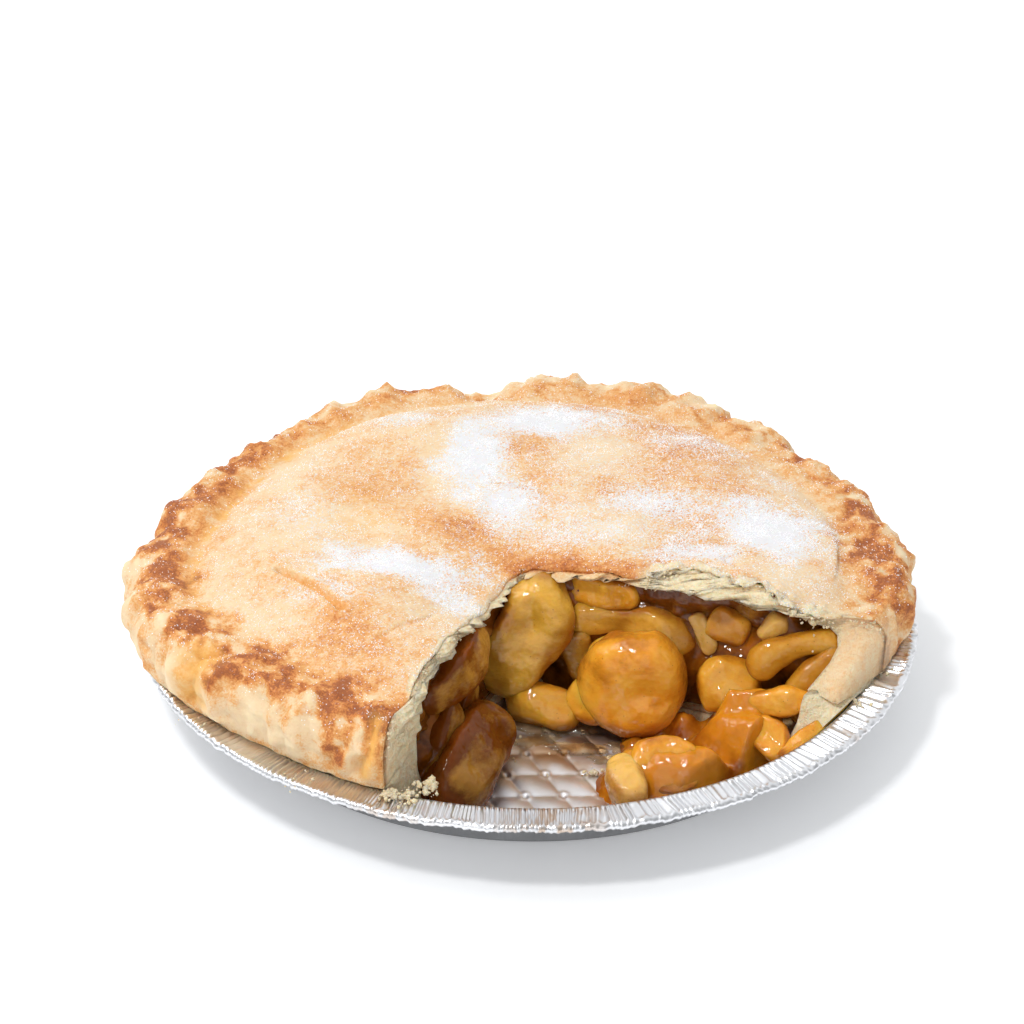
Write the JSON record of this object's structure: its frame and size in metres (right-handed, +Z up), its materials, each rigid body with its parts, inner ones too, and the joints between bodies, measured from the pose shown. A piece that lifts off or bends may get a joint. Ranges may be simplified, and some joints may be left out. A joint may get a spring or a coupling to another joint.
{
  "type": "double-crust apple pie in a foil tin",
  "caption": "Round double-crust apple pie in a shallow crimped foil tin, with a wedge cut out showing the glazed apple slices and the bare foil.",
  "frame": {"origin": "centre of the underside of the foil tin, on the table", "axes": "+Z up through the pie; the cut-out wedge opens towards -Y and +X"},
  "size_m": [0.2459, 0.244, 0.0524],
  "materials": {
    "foil": "bright crimped foil",
    "crust_top": "baked pastry, browned on the folds, sugared on top",
    "crust_base": "pale baked pastry",
    "filling": "dark glazed apple filling",
    "spill": "amber syrup and apple, glossy",
    "apple_gold": "glazed apple, golden",
    "apple_olive": "glazed apple, olive gold",
    "apple_amber": "glazed apple, amber",
    "apple_pale": "glazed apple, pale",
    "apple_brown": "glazed apple, brown with spice"
  },
  "bodies": {
    "root": {"foil_tin": "foil", "top_crust": "crust_top", "bottom_crust": "crust_base", "apple_filling": "filling", "spilled_filling": "spill", "slice_corner_tall": "apple_olive", "slice_half_round": "apple_amber", "slice_long_upper": "apple_olive", "slice_chunk_upper": "apple_gold", "slice_behind_corner": "apple_olive", "slice_under_corner": "apple_gold", "slice_pale_upright": "apple_pale", "slice_amber_chunk": "apple_amber", "slice_knob": "apple_pale", "slice_diagonal": "apple_gold", "slice_round_top": "apple_gold", "slice_hooked": "apple_gold", "slice_front_long": "apple_amber", "slice_mound_lobe": "apple_amber", "slice_wall_right": "apple_amber", "slice_front_pale": "apple_pale", "slice_front_chunk": "apple_amber", "slice_left_flat": "apple_brown", "slice_left_upright": "apple_gold", "slice_left_small": "apple_brown", "slice_left_big": "apple_gold", "slice_left_low": "apple_brown"}
  },
  "joints": []
}
